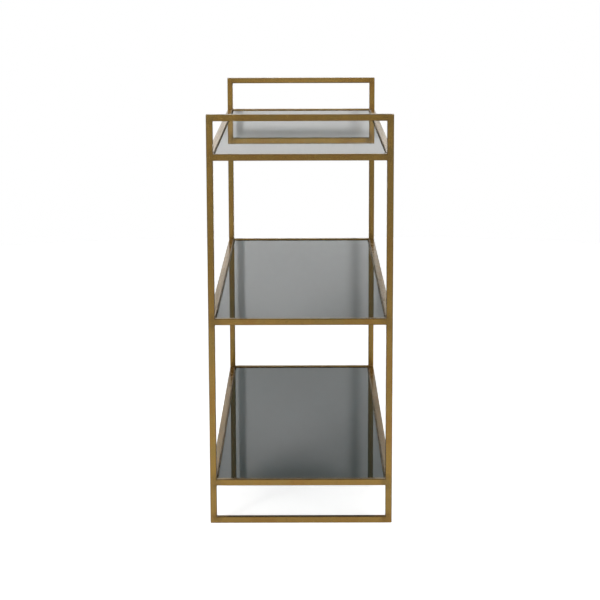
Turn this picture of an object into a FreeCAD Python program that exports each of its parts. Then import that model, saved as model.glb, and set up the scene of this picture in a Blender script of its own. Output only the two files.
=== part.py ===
import FreeCAD, Part
import os

# Etagere, in millimetres. Two end frames of mitred square tube stand on their base bars, and rails
# join them at three levels. The rails of a level make a rebate, and a sheet of dark glass drops into it
# onto padded ledges. +X runs along the length, +Y from front to back and +Z up, and the origin is on the
# floor, under the middle.

# The whole piece, and the clear heights up an end frame from its base bar to its handle bar
overall_length = 1020.0
overall_depth = 355.0
base_gap = 63.2
lower_bay = 306.7
upper_bay = 304.4
handle_gap = 62.2

# Square tube with an even wall, and the end frames' outer corners, dressed round after welding.
# A rail's outer wall is coped to run on over this share of a post's round corner, so that they lie flush.
tube_side = 12.7
tube_wall = 1.2
tube_inner_radius = 0.4
dressed_radius = 1.5
cope_share = 0.8

# Glass, set below the tops of the rails, with round corners and ground arrises
glass_thickness = 5.0
glass_recess = 2.5
glass_clearance = 2.0
glass_corner_radius = 2.0
glass_arris = 1.0

# Flat-bar ledges inside the rails, with the soft pads that the glass lies on
ledge_thickness = 2.5
pad_diameter = 8.0
pad_height = 1.0
pad_margin = 1.0
side_pad_shares = (-0.4, 0.0, 0.4)
end_pad_shares = (0.0,)

# How far a cutting shape passes what it cuts
overrun = 5.0

tube_outer_radius = tube_inner_radius + tube_wall
tube_bore = tube_side - 2 * tube_wall

bottom_rail_top = tube_side + base_gap + tube_side
middle_rail_top = bottom_rail_top + lower_bay + tube_side
top_rail_top = middle_rail_top + upper_bay + tube_side
overall_height = top_rail_top + handle_gap + tube_side
rail_tops = {"bottom": bottom_rail_top, "middle": middle_rail_top, "top": top_rail_top}

opening_length = overall_length - 2 * tube_side
opening_depth = overall_depth - 2 * tube_side
pad_inset = glass_clearance + glass_arris + pad_diameter / 2
ledge_width = pad_inset + pad_diameter / 2 + pad_margin
glass_under_drop = glass_recess + glass_thickness
ledge_top_drop = glass_under_drop + pad_height

end_signs = {"left": -1, "right": 1}
face_signs = {"front": -1, "back": 1}
quarter_turn = 90
x_axis = FreeCAD.Vector(1, 0, 0)
y_axis = FreeCAD.Vector(0, 1, 0)
z_axis = FreeCAD.Vector(0, 0, 1)


def write(node, shape):
    shape.exportStep(os.path.join("parts", node + ".step"))


def rounded_block(length, depth, height, radius):
    """Block centred on the origin, with its four upright edges rounded."""
    corner = FreeCAD.Vector(-length / 2, -depth / 2, -height / 2)
    block = Part.makeBox(length, depth, height, corner)
    upright_edges = [edge for edge in block.Edges if edge.BoundBox.ZLength > height / 2]
    return block.makeFillet(radius, upright_edges)


def tube(length):
    """Square tube, upright and centred on the origin."""
    outside = rounded_block(tube_side, tube_side, length, tube_outer_radius)
    bore = rounded_block(tube_bore, tube_bore, length + 2 * overrun, tube_inner_radius)
    return outside.cut(bore).Solids[0]


def mitred_tube(length):
    """Upright tube mitred at both ends, with its longer side towards +X and its tips dressed round."""
    half_side = tube_side / 2
    reach = half_side + overrun
    half_centre_line = length / 2 - half_side
    outline = [
        FreeCAD.Vector(reach, -reach, half_centre_line + reach),
        FreeCAD.Vector(reach, -reach, -half_centre_line - reach),
        FreeCAD.Vector(-reach, -reach, -half_centre_line + reach),
        FreeCAD.Vector(-reach, -reach, half_centre_line - reach),
    ]
    mitre = Part.Face(Part.makePolygon(outline + outline[:1])).extrude(y_axis * 2 * reach)
    dressing = rounded_block(length, length, 2 * reach, dressed_radius)
    dressing.rotate(FreeCAD.Vector(), x_axis, quarter_turn)
    dressing.translate(x_axis * (half_side - length / 2))
    return tube(length + 2 * overrun).common(mitre).common(dressing).Solids[0]


def coped_rail(length):
    """Upright tube that fits between two posts, with the coped wall towards +Y."""
    half_side = tube_side / 2
    reach = half_side + overrun
    rail = tube(length + 2 * cope_share * tube_outer_radius)
    for end_sign in (-1, 1):
        post = rounded_block(tube_side, tube_side, 2 * reach, tube_outer_radius)
        post.rotate(FreeCAD.Vector(), y_axis, quarter_turn)
        post.translate(z_axis * end_sign * (length / 2 + half_side))
        corner = FreeCAD.Vector(-reach, -reach, end_sign * (length + reach) / 2 - reach / 2)
        square_end = Part.makeBox(2 * reach, reach, reach, corner)
        rail = rail.cut(post).cut(square_end)
    return rail.Solids[0]


def placed(bar, along, outward, centre):
    """A bar drawn upright, turned and moved so that its +Z is along and its +X is outward."""
    turn = FreeCAD.Rotation(outward, along.cross(outward), along, "ZXY")
    piece = bar.copy()
    piece.Placement = FreeCAD.Placement(centre, turn)
    return piece


def make_end_frames():
    """Per end, a mitred ring of two posts and two bars, with a rail across it at each level."""
    post = mitred_tube(overall_height)
    bar = mitred_tube(overall_depth)
    rail = coped_rail(opening_depth)
    for end, end_sign in end_signs.items():
        x = end_sign * (overall_length - tube_side) / 2
        for face, face_sign in face_signs.items():
            y = face_sign * (overall_depth - tube_side) / 2
            centre = FreeCAD.Vector(x, y, overall_height / 2)
            write(f"post_{face}_{end}", placed(post, z_axis, y_axis * face_sign, centre))
        handle_centre = FreeCAD.Vector(x, 0, overall_height - tube_side / 2)
        write(f"handle_bar_{end}", placed(bar, y_axis, z_axis, handle_centre))
        base_centre = FreeCAD.Vector(x, 0, tube_side / 2)
        write(f"base_bar_{end}", placed(bar, y_axis, -z_axis, base_centre))
        for level, rail_top in rail_tops.items():
            centre = FreeCAD.Vector(x, 0, rail_top - tube_side / 2)
            write(f"end_rail_{level}_{end}", placed(rail, y_axis * end_sign, z_axis, centre))


def make_side_rails():
    """Long rails between the end frames, one along each face at each level."""
    rail = coped_rail(opening_length)
    for level, rail_top in rail_tops.items():
        for face, face_sign in face_signs.items():
            y = face_sign * (overall_depth - tube_side) / 2
            centre = FreeCAD.Vector(0, y, rail_top - tube_side / 2)
            write(f"side_rail_{level}_{face}", placed(rail, x_axis * -face_sign, z_axis, centre))


def make_ledges():
    """Flat bars welded inside the rails: side ledges from end to end, with end ledges between them."""
    end_ledge_length = opening_depth - 2 * ledge_width
    for level, rail_top in rail_tops.items():
        z = rail_top - ledge_top_drop - ledge_thickness
        for face, face_sign in face_signs.items():
            y = face_sign * (opening_depth - ledge_width) / 2 - ledge_width / 2
            corner = FreeCAD.Vector(-opening_length / 2, y, z)
            ledge = Part.makeBox(opening_length, ledge_width, ledge_thickness, corner)
            write(f"ledge_{level}_{face}", ledge)
        for end, end_sign in end_signs.items():
            x = end_sign * (opening_length - ledge_width) / 2 - ledge_width / 2
            corner = FreeCAD.Vector(x, -end_ledge_length / 2, z)
            ledge = Part.makeBox(ledge_width, end_ledge_length, ledge_thickness, corner)
            write(f"ledge_{level}_{end}", ledge)


def make_pads():
    """The pads of each level, on its ledges and under the flat of its sheet."""
    one_pad = Part.makeCylinder(pad_diameter / 2, pad_height)
    side_row = opening_depth / 2 - pad_inset
    end_row = opening_length / 2 - pad_inset
    places = []
    for sign in (-1, 1):
        places += [(share * opening_length, sign * side_row) for share in side_pad_shares]
        places += [(sign * end_row, share * opening_depth) for share in end_pad_shares]
    for level, rail_top in rail_tops.items():
        z = rail_top - ledge_top_drop
        pads = [one_pad.translated(FreeCAD.Vector(x, y, z)) for x, y in places]
        write(f"pads_{level}", Part.makeCompound(pads))


def make_glass():
    """The sheet of each level, clear of the rails all round, with its arrises ground."""
    length = opening_length - 2 * glass_clearance
    depth = opening_depth - 2 * glass_clearance
    blank = rounded_block(length, depth, glass_thickness, glass_corner_radius)
    arrises = [edge for edge in blank.Edges if edge.BoundBox.ZLength < glass_thickness / 2]
    sheet = blank.makeChamfer(glass_arris, arrises)
    for level, rail_top in rail_tops.items():
        z = rail_top - glass_recess - glass_thickness / 2
        write(f"glass_{level}", sheet.translated(z_axis * z))


os.makedirs("parts", exist_ok=True)
make_end_frames()
make_side_rails()
make_ledges()
make_pads()
make_glass()
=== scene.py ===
import math
from collections import namedtuple

import bmesh
import bpy
from mathutils import Matrix, Vector


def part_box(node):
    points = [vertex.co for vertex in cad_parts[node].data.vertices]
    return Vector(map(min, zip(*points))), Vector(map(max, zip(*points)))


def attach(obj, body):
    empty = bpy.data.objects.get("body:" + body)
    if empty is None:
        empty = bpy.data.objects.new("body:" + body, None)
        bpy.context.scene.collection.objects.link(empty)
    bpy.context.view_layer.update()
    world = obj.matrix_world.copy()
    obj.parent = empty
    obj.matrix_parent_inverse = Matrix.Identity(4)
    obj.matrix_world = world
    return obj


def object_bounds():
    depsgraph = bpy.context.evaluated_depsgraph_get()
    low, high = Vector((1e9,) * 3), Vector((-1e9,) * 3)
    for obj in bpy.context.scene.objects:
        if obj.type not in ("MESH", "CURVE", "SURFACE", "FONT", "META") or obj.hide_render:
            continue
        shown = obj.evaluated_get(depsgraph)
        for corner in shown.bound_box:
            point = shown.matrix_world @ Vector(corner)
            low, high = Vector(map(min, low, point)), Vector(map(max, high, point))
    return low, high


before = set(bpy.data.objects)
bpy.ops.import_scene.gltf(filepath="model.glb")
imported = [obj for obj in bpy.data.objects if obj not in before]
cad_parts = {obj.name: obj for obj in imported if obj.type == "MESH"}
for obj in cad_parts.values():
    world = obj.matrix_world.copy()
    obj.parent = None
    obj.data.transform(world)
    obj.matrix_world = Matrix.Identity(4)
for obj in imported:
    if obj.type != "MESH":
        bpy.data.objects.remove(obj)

# Etagere of brushed, antiqued brass with black glass shelves, in metres.
# +X runs along the length towards the viewer, front is -Y and +Z is up.
cad_low, cad_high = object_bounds()

# The kinds of values: a noise, a range taken to another, a weld bead, a strip lamp and a paper
Noise = namedtuple("Noise", "scale detail distortion")
Span = namedtuple("Span", "low high to_low to_high", defaults=(0.0, 1.0))
Bead = namedtuple("Bead", "length leg sink")
Strip = namedtuple("Strip", "turn width power")
Paper = namedtuple("Paper", "mirrored_glow foot_tone")

LEVELS = ("bottom", "middle", "top")
END_SIGNS = {"left": -1, "right": 1}
FACE_SIGNS = (-1, 1)
LENGTH_WAY = Vector((1, 0, 0))
DEPTH_WAY = Vector((0, 1, 0))
UP = Vector((0, 0, 1))

# The frame's own sizes, read from its boxes: the tube, the openings between the posts and the rails
POST_LOW, POST_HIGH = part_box("post_front_right")
TUBE_SIDE = POST_HIGH.x - POST_LOW.x
INSIDE_X = POST_LOW.x
INSIDE_Y = -POST_HIGH.y
RAIL_TOPS = {level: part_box(f"end_rail_{level}_right")[1].z for level in LEVELS}
LEDGE_UNDERSIDES = {level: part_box(f"ledge_{level}_front")[0].z for level in LEVELS}
HANDLE_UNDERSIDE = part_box("handle_bar_right")[0].z
BASE_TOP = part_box("base_bar_right")[1].z

# Camera, looking along -X from above the right end
CAMERA_PLACE = Vector((4.0424, 0.0101, 1.1081))
CAMERA_HEADING = math.radians(90.178)
CAMERA_TILT = math.radians(10.637)
CAMERA_ROLL = math.radians(-0.175)
CAMERA_LENS = 112.53

# Brass: the rubbed metal, the browner and greener casts of its antiquing, its sheen and its lacquer
BRASS = (0.322, 0.193, 0.0420, 1.0)
RED_CAST = (0.312, 0.170, 0.0350, 1.0)
GREEN_CAST = (0.302, 0.197, 0.0490, 1.0)
UMBER = (0.100, 0.060, 0.0200, 1.0)
BRASS_SHEEN = (0.95, 0.88, 0.76, 1.0)
BRASS_ROUGHNESS = 0.20
BRASS_TARNISH_ROUGHNESS = 0.15
BRASS_SMUDGE_ROUGHNESS = 0.05
BRASS_SMUDGE_SCALE = 22.0
LACQUER_WEIGHT = 0.45
LACQUER_ROUGHNESS = 0.12

# Brushing: the grain is squeezed along the bar, and the scratches change the tone, gloss and normal
GRAIN_SQUEEZE = 0.02
SCRATCHES = Noise(2600.0, 4.0, 0.0)
STREAKS = Noise(330.0, 3.0, 0.6)
SCRATCH_TONE = Span(0.3, 0.7, 0.94, 1.05)
SCRATCH_ROUGHNESS = Span(0.3, 0.7, -0.04, 0.05)
SCRATCH_STRENGTH = 0.1
SCRATCH_DEPTH = 0.00003

# Antiquing: cloudy casts, dark specks and streaks, and a slow drift of the tone from bar to bar, placed so
# that it also paints shade low on the right near post
CLOUDS = Noise(17.0, 4.0, 0.8)
RED_PATCHES = Span(0.50, 0.68, 0.0, 0.85)
GREEN_PATCHES = Span(0.48, 0.32, 0.0, 0.75)
SPECKS = Noise(160.0, 4.0, 0.3)
DARK_SPECKS = Span(0.56, 0.72, 0.0, 0.18)
DARK_STREAKS = Span(0.52, 0.70, 0.0, 0.16)
TONE_AND_SHADE_DRIFT = Noise(2.6, 1.0, 0.0)
TONE_AND_SHADE_DRIFT_PLACE = 4.0
DRIFTED_TONE_AND_SHADE = Span(0.35, 0.65, 0.86, 1.14)

# Painted shade on the turned edges, and antiquing that stays within a ragged limit round the joints
EDGE_TURN = Span(0.999, 0.86)
PAINTED_EDGE_SHADE_SHARE = 0.85
JOINT_REACH = Span(0.026, 0.007)
RAGGED_LIMIT = Noise(190.0, 4.0, 0.5)
RAGGED_DEPTH = 0.016
DARK_JOINT_SHARE = 0.45

# Handling: smudges, and dust on what faces up
SMUDGE_DETAIL = 5.0
SMUDGE_DISTORTION = 1.2
SMUDGED = Span(0.50, 0.75)
FLECKS = Noise(900.0, 2.0, 0.0)
SETTLED_FLECKS = Span(0.62, 0.74)
FACING_UP = Span(0.3, 0.95)

# Black glass, which sags a little along its length
GLASS_BLACK = (0.010, 0.034, 0.036, 1.0)
GLASS_DUST = (0.050, 0.060, 0.058, 1.0)
GLASS_ROUGHNESS = 0.015
GLASS_SMUDGE_ROUGHNESS = 0.02
GLASS_SMUDGE_SCALE = 9.0
GLASS_ARRIS_ROUGHNESS = 0.4
GLASS_SAG = 0.0012
GLASS_IOR = 1.50

# Silicone pads
SILICONE_CLEAR = (0.62, 0.63, 0.62, 1.0)
SILICONE_CLOUDY = (0.50, 0.51, 0.50, 1.0)
SILICONE_GLOSS = Span(0.0, 1.0, 0.32, 0.46)
SILICONE_SMUDGE_SCALE = 300.0
SILICONE_TRANSMISSION = 0.55
SILICONE_IOR = 1.41

# Weld beads, left in the inside corners, and the tacks under the ledges
WELD_LENGTH_SHARE = 0.75
WELD = Bead(TUBE_SIDE * WELD_LENGTH_SHARE, 0.0012, 0.0004)
TACK = Bead(0.012, 0.0014, 0.0007)
RING_STEP = 0.0006
RIPPLE_PITCH = 0.0018
RIPPLE_DEPTH = 0.07
BEAD_END_SHARE = 0.45
BEAD_FLATNESS = 0.2
BEAD_ARC_STEPS = 5
SIDE_TACK_SHARES = (-0.96, -0.5, 0.0, 0.5, 0.96)
END_TACK_SHARES = (-0.6, 0.6)
WELD_EDGE = 0.35
WELD_NEARNESS = 0.9
WELD_TARNISH_ROUGHNESS = 0.25
WELD_SMUDGE_ROUGHNESS = 0.08
WELD_SMUDGE_SCALE = 260.0

# Studio: radiance by the sine of the height above the horizon, before the piece and all round it
STUDIO_BEFORE = (
    (-0.30, 0.54),
    (-0.10, 0.59),
    (-0.06, 0.54),
    (0.02, 0.50),
    (0.04, 2.20),
    (0.10, 2.20),
    (0.15, 0.50),
    (0.50, 0.55),
    (0.75, 1.00),
    (1.00, 1.10),
)
STUDIO_ROUND = (
    (-0.05, 0.50),
    (0.00, 0.62),
    (0.60, 0.52),
    (0.85, 1.00),
    (1.00, 1.10),
)
VIEWER_SIDE = Span(0.15, 0.65)
STUDIO_STRENGTH = Span(0.0, 1.0, 0.25, 1.0)
HORIZON = 0.5
WHITE = (1.0, 1.0, 1.0, 1.0)

# Floor and backdrop of white paper, lit up to the camera. The backdrop is darker towards its foot, as
# painted shade.
BACKDROP_GAP = 0.04
FLOOR_RADIUS = 3.2
FLOOR_SEGMENTS = 96
PAPER_MOTTLE = Noise(60.0, 3.0, 0.0)
PAPER_TONE = Span(0.3, 0.7, 0.79, 0.81)
PAPER_ROUGHNESS = 0.9
PAPER_SEEN_GLOW = 0.80
GRADE_HEIGHT = 0.40
FLOOR_PAPER = Paper(0.49, 1.0)
BACKDROP_PAPER = Paper(0.0, 0.76)

# Softboxes: a broad one overhead, and a tall, gridded strip on each side of the viewer
OVERHEAD_PLACE = (1.1, 0.0, 3.2)
OVERHEAD_AIM = (0.9, 0.0, 0.0)
OVERHEAD_SIDE = 3.6
OVERHEAD_SPREAD = math.pi
OVERHEAD_POWER = 41.0
STRIPS = {
    "strip_left": Strip(math.radians(-26.5), 0.55, 7.7),
    "strip_right": Strip(math.radians(40.5), 1.6, 7.9),
}
STRIP_AIM_HEIGHT = 0.90
STRIP_RISE = 0.21
STRIP_DISTANCE = 4.5
STRIP_HEIGHT = 3.0
STRIP_SPREAD = math.radians(33.0)

# Places of the factor, the two colours and the result among a Mix node's sockets
MIX_INPUTS = (0, 6, 7)
MIX_OUTPUT = 2


def add(tree, kind, name, **settings):
    """A new node with its settings, which are attributes of the node."""
    node = tree.nodes.new(kind)
    node.name = name
    node.label = name
    for setting, value in settings.items():
        setattr(node, setting, value)
    return node


def feed(tree, socket, value):
    """Link a socket to another one, or set it to a plain value."""
    if isinstance(value, bpy.types.NodeSocket):
        tree.links.new(value, socket)
    else:
        socket.default_value = value


def new_group(name, inputs, outputs):
    """A shader node group, given its sockets as name to (kind, default) and name to kind.

    Returns the group, the sockets that hold its inputs, and those that take its outputs.
    """
    group = bpy.data.node_groups.new(name, "ShaderNodeTree")
    for socket_name, (kind, default) in inputs.items():
        socket = group.interface.new_socket(socket_name, in_out="INPUT", socket_type=kind)
        socket.default_value = default
    for socket_name, kind in outputs.items():
        group.interface.new_socket(socket_name, in_out="OUTPUT", socket_type=kind)
    start = add(group, "NodeGroupInput", "in")
    end = add(group, "NodeGroupOutput", "out")
    return group, start.outputs, end.inputs


def place_group(tree, group, name, **values):
    """The outputs of a group placed in a material, with its own values or links."""
    node = add(tree, "ShaderNodeGroup", name, node_tree=group)
    for socket_name, value in values.items():
        feed(tree, node.inputs[socket_name.replace("_", " ")], value)
    return node.outputs


def new_material(name):
    """A material with only its shader and its output."""
    material = bpy.data.materials.new(name)
    material.use_nodes = True
    tree = material.node_tree
    return material, tree, tree.nodes["Principled BSDF"]


def object_place(tree):
    """The place on the object, over which its patterns are laid."""
    return add(tree, "ShaderNodeTexCoord", "place").outputs["Object"]


def surface_normal(tree):
    """The way that the surface faces."""
    return add(tree, "ShaderNodeNewGeometry", "surface").outputs["Normal"]


def parts_of(tree, name, vector):
    """The X, Y and Z of a vector."""
    node = add(tree, "ShaderNodeSeparateXYZ", name)
    feed(tree, node.inputs["Vector"], vector)
    return node.outputs


def noise(tree, name, vector, settings, fourth_place=None):
    """A noise over a vector, as its value from about 0 to 1, or a slice of a noise in four dimensions."""
    node = add(tree, "ShaderNodeTexNoise", name)
    if fourth_place is not None:
        node.noise_dimensions = "4D"
        feed(tree, node.inputs["W"], fourth_place)
    feed(tree, node.inputs["Vector"], vector)
    feed(tree, node.inputs["Scale"], settings.scale)
    feed(tree, node.inputs["Detail"], settings.detail)
    feed(tree, node.inputs["Distortion"], settings.distortion)
    return node.outputs["Fac"]


def ranged(tree, name, value, span):
    """A value taken smoothly from one range to another."""
    node = add(tree, "ShaderNodeMapRange", name, interpolation_type="SMOOTHSTEP")
    feed(tree, node.inputs["Value"], value)
    feed(tree, node.inputs["From Min"], span.low)
    feed(tree, node.inputs["From Max"], span.high)
    feed(tree, node.inputs["To Min"], span.to_low)
    feed(tree, node.inputs["To Max"], span.to_high)
    return node.outputs["Result"]


def math_node(tree, name, operation, *values):
    """A value worked out from one or more others, each a socket or a number."""
    node = add(tree, "ShaderNodeMath", name, operation=operation)
    for socket, value in zip(node.inputs, values):
        feed(tree, socket, value)
    return node.outputs["Value"]


def vector_node(tree, name, operation, *values):
    """A vector worked out from one or more others, each a socket or a plain vector."""
    node = add(tree, "ShaderNodeVectorMath", name, operation=operation)
    for socket, value in zip(node.inputs, values):
        feed(tree, socket, value)
    return node.outputs["Vector"]


def mixed(tree, name, factor, first, second, blend="MIX"):
    """Two colours mixed by a factor, each a socket or a plain value."""
    node = add(tree, "ShaderNodeMix", name, data_type="RGBA", blend_type=blend)
    for index, value in zip(MIX_INPUTS, (factor, first, second)):
        feed(tree, node.inputs[index], value)
    return node.outputs[MIX_OUTPUT]


def toned(tree, name, colour, tone):
    """A colour made lighter or darker by a tone."""
    return mixed(tree, name, 1.0, colour, tone, "MULTIPLY")


def make_grain_group():
    """Brushing along a bar: fine scratches, and broad streaks that the brush left."""
    inputs = {"Along": ("NodeSocketVector", (1.0, 1.0, 1.0))}
    outputs = {"Scratches": "NodeSocketFloat", "Streaks": "NodeSocketFloat"}
    group, given, wanted = new_group("brushed grain", inputs, outputs)
    stretched = vector_node(group, "stretch along the bar", "MULTIPLY", object_place(group), given["Along"])
    feed(group, wanted["Scratches"], noise(group, "scratches", stretched, SCRATCHES))
    feed(group, wanted["Streaks"], noise(group, "streaks", stretched, STREAKS))
    return group


def make_edges_group():
    """Where the surface turns: the round of a tube's edges and the arrises of the glass."""
    group, _, wanted = new_group("turned edges", {}, {"Edge": "NodeSocketFloat"})
    facing = vector_node(group, "facing either way", "ABSOLUTE", surface_normal(group))
    parts = parts_of(group, "facing", facing)
    flatness = math_node(group, "wider of two", "MAXIMUM", parts["X"], parts["Y"])
    flatness = math_node(group, "widest of three", "MAXIMUM", flatness, parts["Z"])
    feed(group, wanted["Edge"], ranged(group, "turned away", flatness, EDGE_TURN))
    return group


def make_joints_group():
    """Nearness to the end frames' corners and the long rails, where old polish stays."""
    group, _, wanted = new_group("joints", {}, {"Nearness": "NodeSocketFloat"})
    place = object_place(group)
    parts = parts_of(group, "coordinates", vector_node(group, "either half", "ABSOLUTE", place))
    heights = [HANDLE_UNDERSIDE, BASE_TOP]
    for rail_top in RAIL_TOPS.values():
        heights += [rail_top, rail_top - TUBE_SIDE]
    nearest = 1.0
    for height in heights:
        rise = math_node(group, "past a rail", "SUBTRACT", parts["Z"], height)
        rise = math_node(group, "from a rail", "ABSOLUTE", rise)
        nearest = math_node(group, "from the nearest rail", "MINIMUM", rise, nearest)
    across = math_node(group, "past the opening's side", "SUBTRACT", parts["Y"], INSIDE_Y)
    away = math_node(group, "up squared", "MULTIPLY", nearest, nearest)
    away = math_node(group, "both squared", "MULTIPLY_ADD", across, across, away)
    away = math_node(group, "distance", "SQRT", away)
    ragged = noise(group, "ragged", place, RAGGED_LIMIT)
    away = math_node(group, "ragged limit", "MULTIPLY_ADD", ragged, RAGGED_DEPTH, away)
    feed(group, wanted["Nearness"], ranged(group, "near a joint", away, JOINT_REACH))
    return group


def make_patina_group():
    """Antiquing: cloudy casts over the metal and darker corners, with painted shade on the turned edges."""
    inputs = {
        "Metal": ("NodeSocketColor", BRASS),
        "Red cast": ("NodeSocketColor", RED_CAST),
        "Green cast": ("NodeSocketColor", GREEN_CAST),
        "Dark": ("NodeSocketColor", UMBER),
        "Streaks": ("NodeSocketFloat", 0.0),
        "Edge": ("NodeSocketFloat", 0.0),
        "Nearness": ("NodeSocketFloat", 0.0),
    }
    outputs = {"Colour": "NodeSocketColor", "Tarnish and edge shade": "NodeSocketFloat"}
    group, given, wanted = new_group("patina", inputs, outputs)
    place = object_place(group)
    clouds = noise(group, "clouds", place, CLOUDS)
    red = ranged(group, "red patches", clouds, RED_PATCHES)
    green = ranged(group, "green patches", clouds, GREEN_PATCHES)
    colour = mixed(group, "red cast", red, given["Metal"], given["Red cast"])
    colour = mixed(group, "green cast", green, colour, given["Green cast"])
    specks = ranged(group, "dark specks", noise(group, "specks", place, SPECKS), DARK_SPECKS)
    streaks = ranged(group, "dark streaks", given["Streaks"], DARK_STREAKS)
    # The turned edges are darkened towards umber: painted shade.
    edges = math_node(group, "painted edge shade", "MULTIPLY", given["Edge"], PAINTED_EDGE_SHADE_SHARE)
    joints = math_node(group, "dark joints", "MULTIPLY", given["Nearness"], DARK_JOINT_SHARE)
    dark = math_node(group, "specks or streaks", "MAXIMUM", specks, streaks)
    dark = math_node(group, "with the edges", "MAXIMUM", dark, edges)
    dark = math_node(group, "with the joints", "MAXIMUM", dark, joints)
    colour = mixed(group, "darkened", dark, colour, given["Dark"])
    # The drift's place is set so that it darkens the lower right near post: painted shade over an uneven
    # tone.
    drift = noise(group, "drift of tone and painted shade", place, TONE_AND_SHADE_DRIFT, TONE_AND_SHADE_DRIFT_PLACE)
    tone = ranged(group, "lighter and darker", drift, DRIFTED_TONE_AND_SHADE)
    feed(group, wanted["Colour"], toned(group, "drifted", colour, tone))
    # This mask also carries the painted edge shade, and roughens the edges with it.
    feed(group, wanted["Tarnish and edge shade"], dark)
    return group


def make_handling_group():
    """Handling: soft smudges and fine dust, more on what faces up."""
    inputs = {"Smudge scale": ("NodeSocketFloat", BRASS_SMUDGE_SCALE)}
    outputs = {"Smudges": "NodeSocketFloat", "Dust": "NodeSocketFloat"}
    group, given, wanted = new_group("handling", inputs, outputs)
    place = object_place(group)
    smudge_settings = Noise(given["Smudge scale"], SMUDGE_DETAIL, SMUDGE_DISTORTION)
    smudges = noise(group, "smudges", place, smudge_settings)
    flecks = ranged(group, "settled flecks", noise(group, "flecks", place, FLECKS), SETTLED_FLECKS)
    facing = parts_of(group, "facing", surface_normal(group))
    upward = ranged(group, "facing up", facing["Z"], FACING_UP)
    feed(group, wanted["Smudges"], ranged(group, "smudged", smudges, SMUDGED))
    feed(group, wanted["Dust"], math_node(group, "dust", "MULTIPLY", upward, flecks))
    return group


def make_paper_group():
    """White paper, faintly mottled, and graded from the tone at its foot, which on the backdrop is painted
    shade.
    """
    inputs = {"Foot tone": ("NodeSocketFloat", 1.0)}
    group, given, wanted = new_group("paper", inputs, {"Tone": "NodeSocketFloat"})
    place = object_place(group)
    tone = ranged(group, "paper tone", noise(group, "mottle", place, PAPER_MOTTLE), PAPER_TONE)
    parts = parts_of(group, "height", place)
    foot_grade = Span(0.0, GRADE_HEIGHT, given["Foot tone"], 1.0)
    grade = ranged(group, "graded towards its foot", parts["Z"], foot_grade)
    feed(group, wanted["Tone"], math_node(group, "graded tone", "MULTIPLY", tone, grade))
    return group


GRAIN = make_grain_group()
EDGES = make_edges_group()
JOINTS = make_joints_group()
PATINA = make_patina_group()
HANDLING = make_handling_group()
PAPER = make_paper_group()


def set_lacquered_metal(shader):
    """Bare metal under a thin, satin lacquer."""
    shader.inputs["Metallic"].default_value = 1.0
    shader.inputs["Specular Tint"].default_value = BRASS_SHEEN
    shader.inputs["Coat Weight"].default_value = LACQUER_WEIGHT
    shader.inputs["Coat Roughness"].default_value = LACQUER_ROUGHNESS


def make_brass(name, along):
    """Brass brushed along a bar, given the squeeze of the grain along each axis."""
    material, tree, shader = new_material(name)
    grain = place_group(tree, GRAIN, "brushed grain", Along=along)
    edges = place_group(tree, EDGES, "turned edges")
    joints = place_group(tree, JOINTS, "joints")
    handling = place_group(tree, HANDLING, "handling", Smudge_scale=BRASS_SMUDGE_SCALE)
    # The edge mask brings painted shade, beside the real streaks and joints.
    wear_and_edge_shade = {"Streaks": grain["Streaks"], "Edge": edges["Edge"], "Nearness": joints["Nearness"]}
    patina = place_group(tree, PATINA, "patina", **wear_and_edge_shade)
    tone = ranged(tree, "scratches light and dark", grain["Scratches"], SCRATCH_TONE)
    feed(tree, shader.inputs["Base Color"], toned(tree, "scratched", patina["Colour"], tone))
    rough = ranged(tree, "scratch roughness", grain["Scratches"], SCRATCH_ROUGHNESS)
    rough = math_node(tree, "brushed", "ADD", rough, BRASS_ROUGHNESS)
    rough = math_node(tree, "tarnished", "MULTIPLY_ADD", patina["Tarnish and edge shade"], BRASS_TARNISH_ROUGHNESS, rough)
    rough = math_node(tree, "handled", "MULTIPLY_ADD", handling["Smudges"], BRASS_SMUDGE_ROUGHNESS, rough)
    feed(tree, shader.inputs["Roughness"], rough)
    bump = add(tree, "ShaderNodeBump", "scratch depth")
    feed(tree, bump.inputs["Strength"], SCRATCH_STRENGTH)
    feed(tree, bump.inputs["Distance"], SCRATCH_DEPTH)
    feed(tree, bump.inputs["Height"], grain["Scratches"])
    feed(tree, shader.inputs["Normal"], bump.outputs["Normal"])
    set_lacquered_metal(shader)
    return material


def make_weld_metal():
    """Bead metal: the same finish, darker and rougher than on the tube."""
    material, tree, shader = new_material("brass_on_welds")
    patina = place_group(tree, PATINA, "patina", Edge=WELD_EDGE, Nearness=WELD_NEARNESS)
    handling = place_group(tree, HANDLING, "handling", Smudge_scale=WELD_SMUDGE_SCALE)
    feed(tree, shader.inputs["Base Color"], patina["Colour"])
    rough = BRASS_ROUGHNESS
    rough = math_node(tree, "tarnished", "MULTIPLY_ADD", patina["Tarnish and edge shade"], WELD_TARNISH_ROUGHNESS, rough)
    rough = math_node(tree, "handled", "MULTIPLY_ADD", handling["Smudges"], WELD_SMUDGE_ROUGHNESS, rough)
    feed(tree, shader.inputs["Roughness"], rough)
    set_lacquered_metal(shader)
    return material


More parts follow.
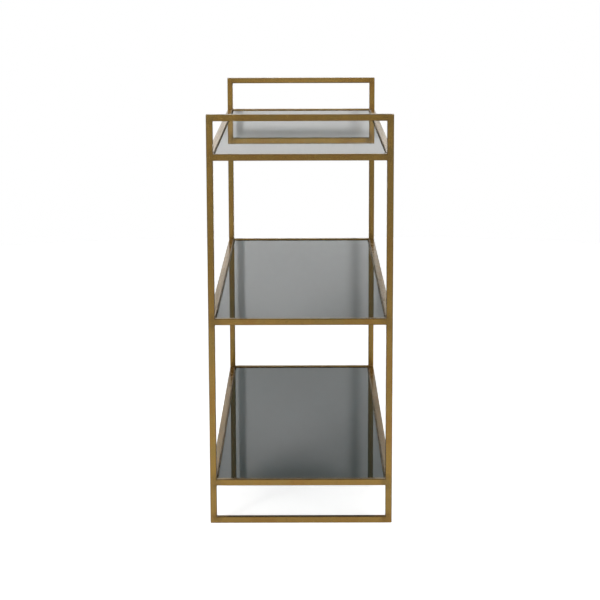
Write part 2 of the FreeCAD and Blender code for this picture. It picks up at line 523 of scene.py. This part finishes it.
def make_glass():
    """Black glass, opaque and polished, with ground arrises, a slight sag and traces of handling."""
    material, tree, shader = new_material("black_glass")
    handling = place_group(tree, HANDLING, "handling", Smudge_scale=GLASS_SMUDGE_SCALE)
    edges = place_group(tree, EDGES, "turned edges")
    colour = mixed(tree, "dusty", handling["Dust"], GLASS_BLACK, GLASS_DUST)
    feed(tree, shader.inputs["Base Color"], colour)
    rough = GLASS_ROUGHNESS
    rough = math_node(tree, "handled", "MULTIPLY_ADD", handling["Smudges"], GLASS_SMUDGE_ROUGHNESS, rough)
    ground = math_node(tree, "ground arrises", "MULTIPLY", edges["Edge"], GLASS_ARRIS_ROUGHNESS)
    feed(tree, shader.inputs["Roughness"], math_node(tree, "ground", "MAXIMUM", rough, ground))
    sag_bend = (-2 * GLASS_SAG / INSIDE_X ** 2, 0.0, 0.0)
    lean = vector_node(tree, "lean along the sheet", "MULTIPLY", object_place(tree), sag_bend)
    leaning = vector_node(tree, "leaning", "ADD", surface_normal(tree), lean)
    feed(tree, shader.inputs["Normal"], vector_node(tree, "sagging", "NORMALIZE", leaning))
    shader.inputs["Metallic"].default_value = 0.0
    shader.inputs["IOR"].default_value = GLASS_IOR
    return material


def make_silicone():
    """Clear silicone of the pads, cloudy inside."""
    material, tree, shader = new_material("clear_silicone")
    handling = place_group(tree, HANDLING, "handling", Smudge_scale=SILICONE_SMUDGE_SCALE)
    colour = mixed(tree, "cloudy", handling["Smudges"], SILICONE_CLEAR, SILICONE_CLOUDY)
    feed(tree, shader.inputs["Base Color"], colour)
    feed(tree, shader.inputs["Roughness"], ranged(tree, "soft gloss", handling["Smudges"], SILICONE_GLOSS))
    shader.inputs["Transmission Weight"].default_value = SILICONE_TRANSMISSION
    shader.inputs["IOR"].default_value = SILICONE_IOR
    return material


def finish_nodes():
    """The finish of every piece of the frame and of the shelves."""
    brass_x = make_brass("brass_brushed_lengthwise", (GRAIN_SQUEEZE, 1.0, 1.0))
    brass_y = make_brass("brass_brushed_across", (1.0, GRAIN_SQUEEZE, 1.0))
    brass_z = make_brass("brass_brushed_upright", (1.0, 1.0, GRAIN_SQUEEZE))
    glass = make_glass()
    silicone = make_silicone()
    for name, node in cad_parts.items():
        if name.startswith("glass_"):
            finish = glass
        elif name.startswith("pads_"):
            finish = silicone
        elif name.startswith("post_"):
            finish = brass_z
        else:
            low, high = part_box(name)
            finish = brass_x if high.x - low.x > high.y - low.y else brass_y
        node.material_slots[0].material = finish


def add_bead(shape, bead, corner, along, first, second):
    """A bead in the corner between two faces, given by the ways that they face, rippled and tapered."""
    steps = round(bead.length / RING_STEP)
    rings = []
    for step in range(steps + 1):
        share = step / steps
        taper = BEAD_END_SHARE + (1 - BEAD_END_SHARE) * math.sqrt(math.sin(math.pi * share))
        ripple = 1 + RIPPLE_DEPTH * math.cos(math.tau * share * bead.length / RIPPLE_PITCH)
        reach = bead.leg * taper * ripple
        centre = corner + along * (share - 1 / 2) * bead.length
        ring = [centre - (first + second) * bead.sink]
        ring.append(centre + first * reach - second * bead.sink)
        for arc_step in range(BEAD_ARC_STEPS + 1):
            angle = arc_step / BEAD_ARC_STEPS * math.pi / 2
            flat = 1 - BEAD_FLATNESS * math.sin(2 * angle)
            ring.append(centre + (first * math.cos(angle) + second * math.sin(angle)) * reach * flat)
        ring.append(centre + second * reach - first * bead.sink)
        rings.append([shape.verts.new(point) for point in ring])
    for ring, following in zip(rings, rings[1:]):
        for index in range(len(ring)):
            after = (index + 1) % len(ring)
            shape.faces.new((ring[index], ring[after], following[after], following[index]))
    shape.faces.new(rings[0])
    shape.faces.new(rings[-1])


def make_object(name, shape, material):
    """An object in the scene, made from a shape that is then let go."""
    mesh = bpy.data.meshes.new(name)
    shape.to_mesh(mesh)
    shape.free()
    mesh.materials.append(material)
    piece = bpy.data.objects.new(name, mesh)
    bpy.context.scene.collection.objects.link(piece)
    return piece


def finish_beads(name, shape, metal):
    """The beads of one place as a piece of the frame."""
    bmesh.ops.recalc_face_normals(shape, faces=shape.faces)
    for face in shape.faces:
        face.smooth = True
    beads = make_object(name, shape, metal)
    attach(beads, "frame")


def make_welds(metal):
    """Beads in each end frame: over and under the rails at the posts, and inside the mitred corners."""
    for end, end_sign in END_SIGNS.items():
        shape = bmesh.new()
        x = end_sign * INSIDE_X
        middle_x = end_sign * (INSIDE_X + TUBE_SIDE / 2)
        for face_sign in FACE_SIGNS:
            y = face_sign * INSIDE_Y
            middle_y = face_sign * (INSIDE_Y + TUBE_SIDE / 2)
            inner_corners = [(HANDLE_UNDERSIDE, -UP), (BASE_TOP, UP)]
            for rail_top in RAIL_TOPS.values():
                rail_corners = [(rail_top, UP), (rail_top - TUBE_SIDE, -UP)]
                inner_corners += rail_corners
                for z, rail_way in rail_corners:
                    corner = Vector((x, middle_y, z))
                    add_bead(shape, WELD, corner, DEPTH_WAY, -end_sign * LENGTH_WAY, rail_way)
            for z, rail_way in inner_corners:
                corner = Vector((middle_x, y, z))
                add_bead(shape, WELD, corner, LENGTH_WAY, -face_sign * DEPTH_WAY, rail_way)
        finish_beads(f"weld_beads_{end}", shape, metal)


def make_tacks(metal):
    """Tacks that hold the ledges to the rails, from below."""
    for level, z in LEDGE_UNDERSIDES.items():
        shape = bmesh.new()
        for face_sign in FACE_SIGNS:
            for share in SIDE_TACK_SHARES:
                corner = Vector((share * INSIDE_X, face_sign * INSIDE_Y, z))
                add_bead(shape, TACK, corner, LENGTH_WAY, -face_sign * DEPTH_WAY, -UP)
        for end_sign in END_SIGNS.values():
            for share in END_TACK_SHARES:
                corner = Vector((end_sign * INSIDE_X, share * INSIDE_Y, z))
                add_bead(shape, TACK, corner, DEPTH_WAY, -end_sign * LENGTH_WAY, -UP)
        finish_beads(f"ledge_tacks_{level}", shape, metal)


def make_paper(name, kind):
    """White paper, which the camera sees lit up, with some of that light in mirrors."""
    material, tree, shader = new_material(name)
    paper = place_group(tree, PAPER, "paper", Foot_tone=kind.foot_tone)
    feed(tree, shader.inputs["Base Color"], paper["Tone"])
    shader.inputs["Roughness"].default_value = PAPER_ROUGHNESS
    shader.inputs["Specular IOR Level"].default_value = 0.0
    path = add(tree, "ShaderNodeLightPath", "path").outputs
    through = path["Is Transmission Ray"]
    mirrored = math_node(tree, "mirrored or through", "MAXIMUM", path["Is Glossy Ray"], through)
    mirrored = math_node(tree, "white in mirrors", "MULTIPLY", mirrored, kind.mirrored_glow)
    seen = path["Is Camera Ray"]
    glow = math_node(tree, "white to the camera", "MULTIPLY_ADD", seen, PAPER_SEEN_GLOW, mirrored)
    feed(tree, shader.inputs["Emission Strength"], glow)
    shader.inputs["Emission Color"].default_value = WHITE
    return material


def make_stage_piece(name, shape, material):
    """A part of the studio, which isn't part of the object."""
    piece = make_object(name, shape, material)
    return piece


def make_floor(paper):
    """Plain pale floor."""
    shape = bmesh.new()
    bmesh.ops.create_circle(shape, cap_ends=True, radius=FLOOR_RADIUS, segments=FLOOR_SEGMENTS)
    make_stage_piece("floor", shape, paper)


def make_backdrop(paper):
    """Backdrop close behind the far end, which only shows in the glass and the metal."""
    shape = bmesh.new()
    x = cad_low.x - BACKDROP_GAP
    lowest = (x, -FLOOR_RADIUS, 0.0), (x, FLOOR_RADIUS, 0.0)
    highest = (x, FLOOR_RADIUS, FLOOR_RADIUS), (x, -FLOOR_RADIUS, FLOOR_RADIUS)
    shape.faces.new([shape.verts.new(corner) for corner in lowest + highest])
    backdrop = make_stage_piece("backdrop", shape, paper)
    backdrop.visible_camera = False
    backdrop.visible_shadow = False


def add_ramp(tree, name, height, steps):
    """Radiance by height, from its steps, with the horizon half way up the ramp."""
    ramp = add(tree, "ShaderNodeValToRGB", name)
    feed(tree, ramp.inputs["Fac"], height)
    stops = ramp.color_ramp.elements
    while len(stops) < len(steps):
        stops.new(HORIZON)
    for stop, (level, radiance) in zip(stops, steps):
        stop.position = HORIZON + HORIZON * level
        stop.color = (radiance, radiance, radiance, 1.0)
    return ramp.outputs["Color"]


def make_studio():
    """World: one studio before the piece and another all round, white to the camera and dim as a light."""
    world = bpy.data.worlds.new("studio")
    bpy.context.scene.world = world
    world.use_nodes = True
    tree = world.node_tree
    background = tree.nodes["Background"]
    direction = add(tree, "ShaderNodeTexCoord", "direction").outputs["Generated"]
    parts = parts_of(tree, "parts of the direction", direction)
    height = math_node(tree, "height on the ramp", "MULTIPLY_ADD", parts["Z"], HORIZON, HORIZON)
    all_round = add_ramp(tree, "studio all round", height, STUDIO_ROUND)
    before = add_ramp(tree, "studio before", height, STUDIO_BEFORE)
    turn = ranged(tree, "towards the viewer", parts["X"], VIEWER_SIDE)
    around = mixed(tree, "whole studio", turn, all_round, before)
    path = add(tree, "ShaderNodeLightPath", "path").outputs
    seen = path["Is Camera Ray"]
    feed(tree, background.inputs["Color"], mixed(tree, "white to the camera", seen, around, WHITE))
    shown = math_node(tree, "seen or mirrored", "MAXIMUM", seen, path["Is Glossy Ray"])
    shown = math_node(tree, "seen, mirrored or through", "MAXIMUM", shown, path["Is Transmission Ray"])
    feed(tree, background.inputs["Strength"], ranged(tree, "dim as a light", shown, STUDIO_STRENGTH))


def add_softbox(name, place, aim, width, height, spread, power):
    """A softbox that faces a point, and lights the paper without showing in the metal."""
    lamp = bpy.data.lights.new(name, "AREA")
    lamp.shape = "RECTANGLE"
    lamp.size = width
    lamp.size_y = height
    lamp.spread = spread
    lamp.energy = power
    holder = bpy.data.objects.new(name, lamp)
    holder.location = place
    holder.rotation_euler = (Vector(aim) - Vector(place)).to_track_quat("-Z", "Y").to_euler()
    holder.visible_camera = False
    holder.visible_glossy = False
    bpy.context.scene.collection.objects.link(holder)


def make_lights():
    """One broad softbox overhead, and a tall strip on each side of the viewer."""
    add_softbox(
        "softbox_above",
        OVERHEAD_PLACE,
        OVERHEAD_AIM,
        OVERHEAD_SIDE,
        OVERHEAD_SIDE,
        OVERHEAD_SPREAD,
        OVERHEAD_POWER,
    )
    aim = Vector((cad_low.x, 0.0, STRIP_AIM_HEIGHT))
    for name, strip in STRIPS.items():
        way = Vector((math.cos(strip.turn), math.sin(strip.turn), STRIP_RISE))
        place = aim + way * STRIP_DISTANCE
        add_softbox(name, place, aim, strip.width, STRIP_HEIGHT, STRIP_SPREAD, strip.power)


def make_camera():
    """Camera at the viewing angle, on the right end of the piece."""
    lens = bpy.data.cameras.new("camera")
    lens.lens = CAMERA_LENS
    camera = bpy.data.objects.new("camera", lens)
    turn = Matrix.Rotation(CAMERA_HEADING, 4, "Z")
    turn = turn @ Matrix.Rotation(math.pi / 2 - CAMERA_TILT, 4, "X")
    turn = turn @ Matrix.Rotation(CAMERA_ROLL, 4, "Z")
    camera.matrix_world = Matrix.Translation(CAMERA_PLACE) @ turn
    bpy.context.scene.collection.objects.link(camera)
    bpy.context.scene.camera = camera


finish_nodes()
weld_metal = make_weld_metal()
make_welds(weld_metal)
make_tacks(weld_metal)
make_floor(make_paper("floor_paper", FLOOR_PAPER))
make_backdrop(make_paper("backdrop_paper", BACKDROP_PAPER))
make_studio()
make_lights()
make_camera()
bpy.context.scene.view_settings.view_transform = "Standard"
